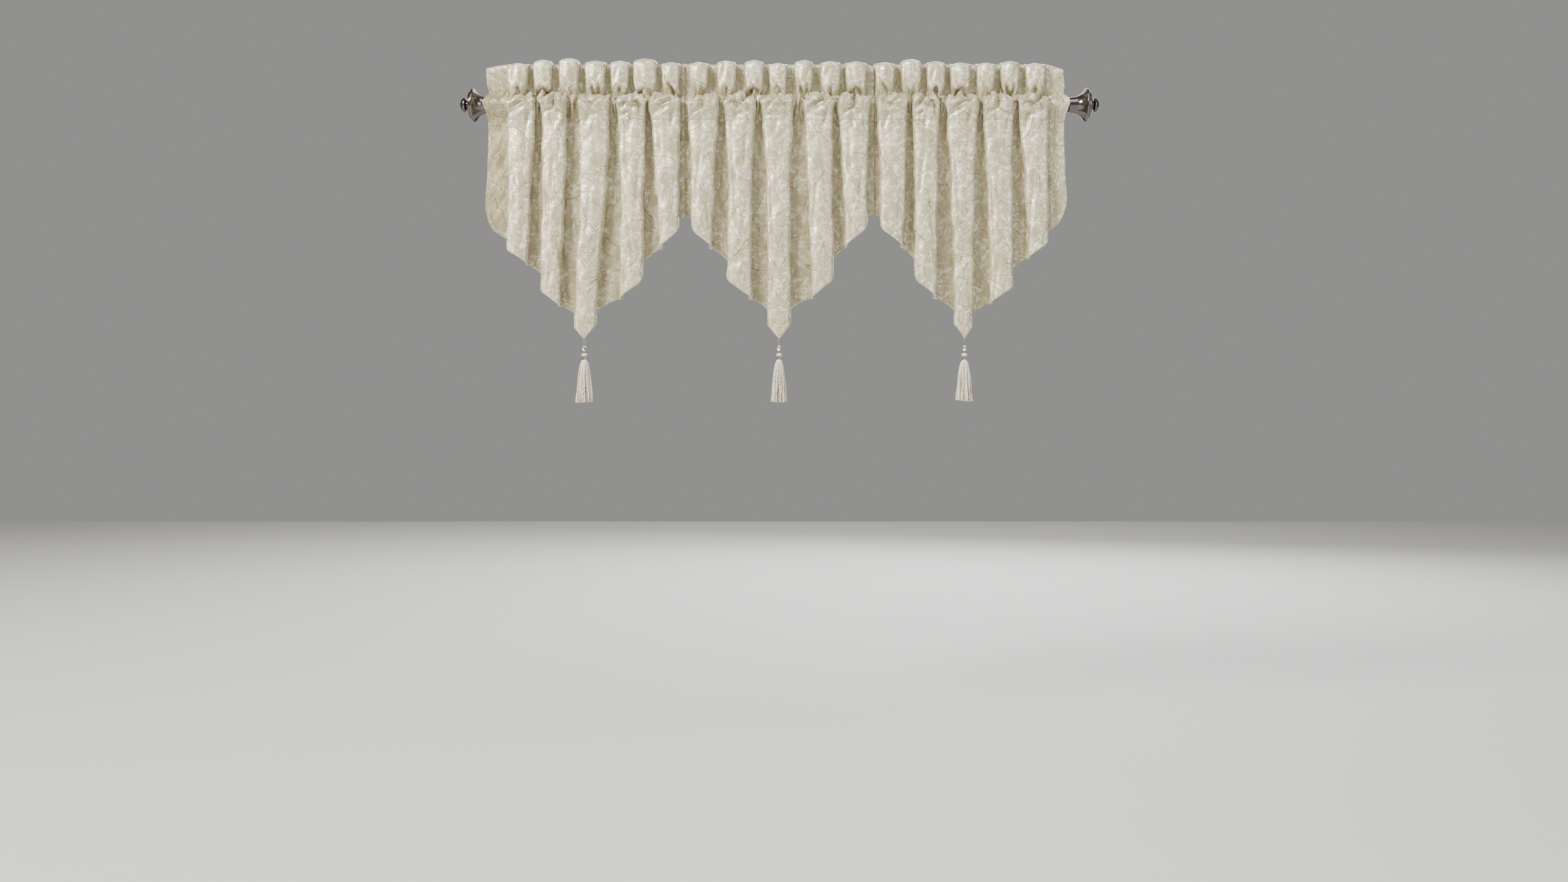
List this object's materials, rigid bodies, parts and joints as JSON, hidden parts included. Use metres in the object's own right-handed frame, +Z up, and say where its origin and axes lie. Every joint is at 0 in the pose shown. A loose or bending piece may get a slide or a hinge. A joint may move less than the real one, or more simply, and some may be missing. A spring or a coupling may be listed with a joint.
{
  "type": "set of ascot valances on a curtain pole",
  "caption": "Gathered ascot valances with ruffled headings, pointed hems and tassel drops, side by side on a curtain pole with finials.",
  "frame": {"origin": "on the pole's axis, half way along it", "axes": "+X along the pole to the viewer's right, +Z up, the room on the -Y side and the wall on the +Y side"},
  "size_m": [1.3432, 0.0858, 0.7223],
  "materials": {
    "pewter": "polished dark pewter",
    "jacquard": "ivory jacquard with a satin and matte leaf pattern and metallic flecks",
    "silver": "polished silver-coloured wire and sleeve",
    "crystal": "clear faceted crystal",
    "pearl": "pearly ivory lustre",
    "yarn": "twisted rayon yarn in ivory and taupe"
  },
  "bodies": {
    "root": {"rod": "pewter", "finial_left": "pewter", "finial_right": "pewter", "valance_left": "jacquard", "valance_centre": "jacquard", "valance_right": "jacquard", "drop_eye_left": "silver", "drop_eye_centre": "silver", "drop_eye_right": "silver", "crystal_left": "crystal", "crystal_centre": "crystal", "crystal_right": "crystal", "link_left": "silver", "link_centre": "silver", "link_right": "silver", "rondelle_left": "pearl", "rondelle_centre": "pearl", "rondelle_right": "pearl", "sleeve_left": "silver", "sleeve_centre": "silver", "sleeve_right": "silver", "tassel_left": "yarn", "tassel_centre": "yarn", "tassel_right": "yarn"}
  },
  "joints": []
}
